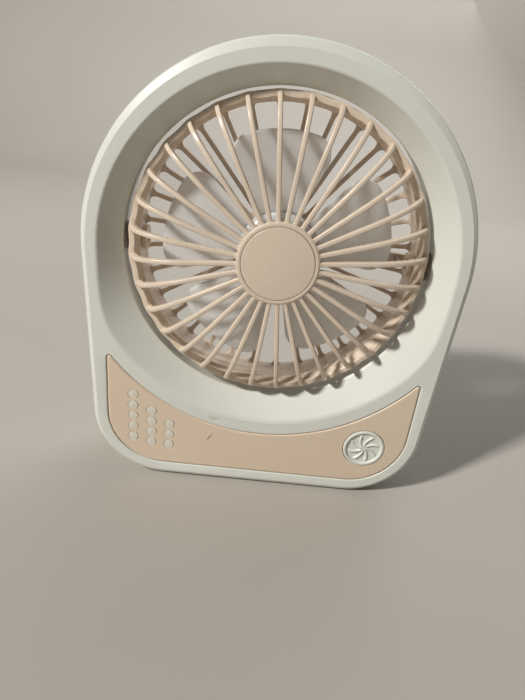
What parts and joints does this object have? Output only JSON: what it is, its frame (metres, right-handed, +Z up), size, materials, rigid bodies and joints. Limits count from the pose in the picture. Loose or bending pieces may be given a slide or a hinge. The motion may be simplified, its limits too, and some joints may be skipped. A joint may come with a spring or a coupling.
{
  "type": "desk fan",
  "caption": "Free-standing desk fan: a round caged head that tilts inside an arched stand, with a control panel and push button.",
  "frame": {"origin": "on the table, under the middle of the stand", "axes": "+Z up, the fan faces -Y, +X to the right as seen from the front"},
  "size_m": [0.1712, 0.051, 0.205],
  "materials": {
    "cream_plastic": "satin moulded plastic, slightly warm off-white",
    "peach_plastic": "satin moulded plastic, pale peach",
    "milky_plastic": "milky translucent plastic, glossy",
    "nylon": "natural nylon, dull",
    "steel": "plated steel",
    "black_plastic": "black moulded plastic",
    "white_plastic": "white moulded plastic",
    "board": "green solder mask",
    "bronze": "sintered bronze",
    "magnet": "dark ferrite",
    "battery_wrap": "blue shrink wrap",
    "foam_pad": "black foam",
    "foot_rubber": "grey-beige rubber, matte",
    "lead_insulation": "beige insulation"
  },
  "bodies": {
    "stand": {"front_housing": "cream_plastic", "rear_housing": "cream_plastic", "indicator_studs": "cream_plastic", "control_panel": "peach_plastic", "right_pivot_bush": "nylon", "left_pivot_bush": "nylon", "right_friction_washer": "nylon", "left_friction_washer": "nylon", "housing_screws": "steel", "board_screws": "steel", "charge_port_shell": "steel", "tact_switch": "black_plastic", "board_chips": "black_plastic", "charge_port_tongue": "black_plastic", "lead_socket": "white_plastic", "control_board": "board", "charge_port_board": "board", "battery_cell": "battery_wrap", "battery_pads": "foam_pad", "rubber_feet": "foot_rubber", "motor_lead_frame": "lead_insulation", "power_leads": "lead_insulation"},
    "head": {"front_grille": "peach_plastic", "hub_cap": "peach_plastic", "rear_grille": "peach_plastic", "motor_can": "steel", "motor_front_bush": "bronze", "motor_end_cap": "black_plastic", "motor_magnets": "magnet", "motor_screws": "steel", "motor_cover": "peach_plastic", "cover_screws": "steel", "motor_lead_head": "lead_insulation", "right_pivot_pin": "peach_plastic", "left_pivot_pin": "peach_plastic", "right_pivot_clip": "steel", "left_pivot_clip": "steel"},
    "spinner": {"impeller": "milky_plastic", "motor_shaft": "steel", "motor_rotor": "steel"},
    "button": {"power_button": "cream_plastic", "switch_plunger": "white_plastic"}
  },
  "joints": [
    {"name": "head_tilt", "type": "hinge", "parent": "stand", "child": "head", "pos_m": [0, 0, 0.121], "axis": [1, 0, 0], "range_deg": [-90, 90]},
    {"name": "impeller_spin", "type": "hinge", "parent": "head", "child": "spinner", "pos_m": [0, 0, 0.121], "axis": [0, 1, 0], "continuous": true},
    {"name": "power_press", "type": "slide", "parent": "stand", "child": "button", "axis": [0, 1, 0], "range_m": [0, 0.0006], "stiffness_N_per_m": 1500, "springref_m": -0.0004}
  ]
}
